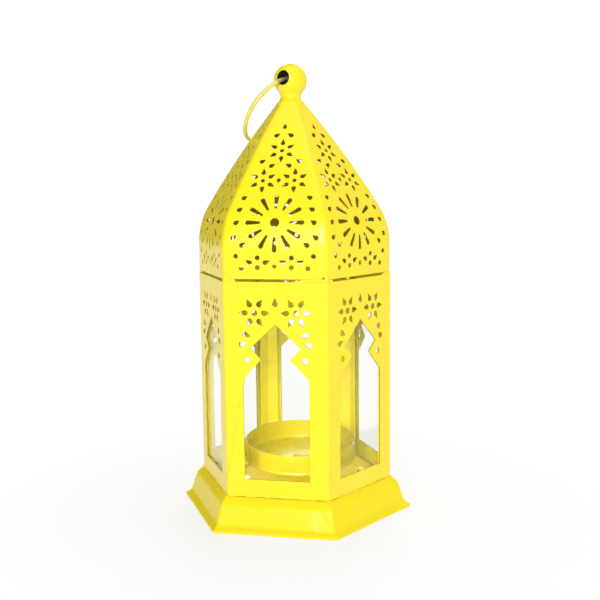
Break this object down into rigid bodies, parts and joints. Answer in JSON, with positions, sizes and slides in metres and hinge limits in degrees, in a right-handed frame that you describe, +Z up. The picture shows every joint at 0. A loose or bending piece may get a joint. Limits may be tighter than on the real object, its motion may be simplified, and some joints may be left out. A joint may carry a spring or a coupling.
{
  "type": "candle lantern",
  "caption": "Hexagonal candle lantern in yellow enamelled sheet metal, with keyhole glass windows, a pierced petal dome, a ball finial with a ring, and a drop-out candle cup.",
  "frame": {"origin": "on the table under the lantern's axis, at the middle of the base", "axes": "+Z up along the lantern's axis, -Y out of the front wall, +X to the right"},
  "size_m": [0.1088, 0.0944, 0.2028],
  "materials": {
    "yellow_enamel": "glossy",
    "strip_enamel": "satin",
    "window_glass": "clear"
  },
  "bodies": {
    "lantern_shell": {"floor_plate": "yellow_enamel", "base_side_1": "yellow_enamel", "base_side_2": "yellow_enamel", "base_side_3": "yellow_enamel", "base_side_4": "yellow_enamel", "base_side_5": "yellow_enamel", "base_side_6": "yellow_enamel", "wall_panel_1": "yellow_enamel", "wall_panel_2": "yellow_enamel", "wall_panel_3": "yellow_enamel", "wall_panel_4": "yellow_enamel", "wall_panel_5": "yellow_enamel", "wall_panel_6": "yellow_enamel", "glass_pane_1": "window_glass", "glass_pane_2": "window_glass", "glass_pane_3": "window_glass", "glass_pane_4": "window_glass", "glass_pane_5": "window_glass", "glass_pane_6": "window_glass", "corner_strip_1": "strip_enamel", "corner_strip_2": "strip_enamel", "corner_strip_3": "strip_enamel", "corner_strip_4": "strip_enamel", "corner_strip_5": "strip_enamel", "corner_strip_6": "strip_enamel", "dome_petal_1": "yellow_enamel", "dome_petal_2": "yellow_enamel", "dome_petal_3": "yellow_enamel", "dome_petal_4": "yellow_enamel", "dome_petal_5": "yellow_enamel", "dome_petal_6": "yellow_enamel", "dome_solder": "yellow_enamel", "base_solder": "yellow_enamel", "finial": "yellow_enamel"},
    "ring": {"hanging_ring": "yellow_enamel"},
    "candle_holder": {"candle_cup": "yellow_enamel", "cup_rivet": "yellow_enamel"},
    "locking_plate": {"lock_plate": "strip_enamel", "lock_lugs": "strip_enamel"}
  },
  "joints": [
    {"name": "ring_swing", "type": "hinge", "parent": "lantern_shell", "child": "ring", "pos_m": [0, 0, 0.19608], "axis": [0.342, 0.9397, 0], "range_deg": [0, 286.6]},
    {"name": "holder_drop", "type": "slide", "parent": "lantern_shell", "child": "candle_holder", "axis": [0, 0, -1], "range_m": [0, 0.036]},
    {"name": "lock_turn", "type": "hinge", "parent": "candle_holder", "child": "locking_plate", "pos_m": [0.0021, 0.0015, 0.0132], "axis": [0, 0, 1], "range_deg": [0, 40]}
  ]
}
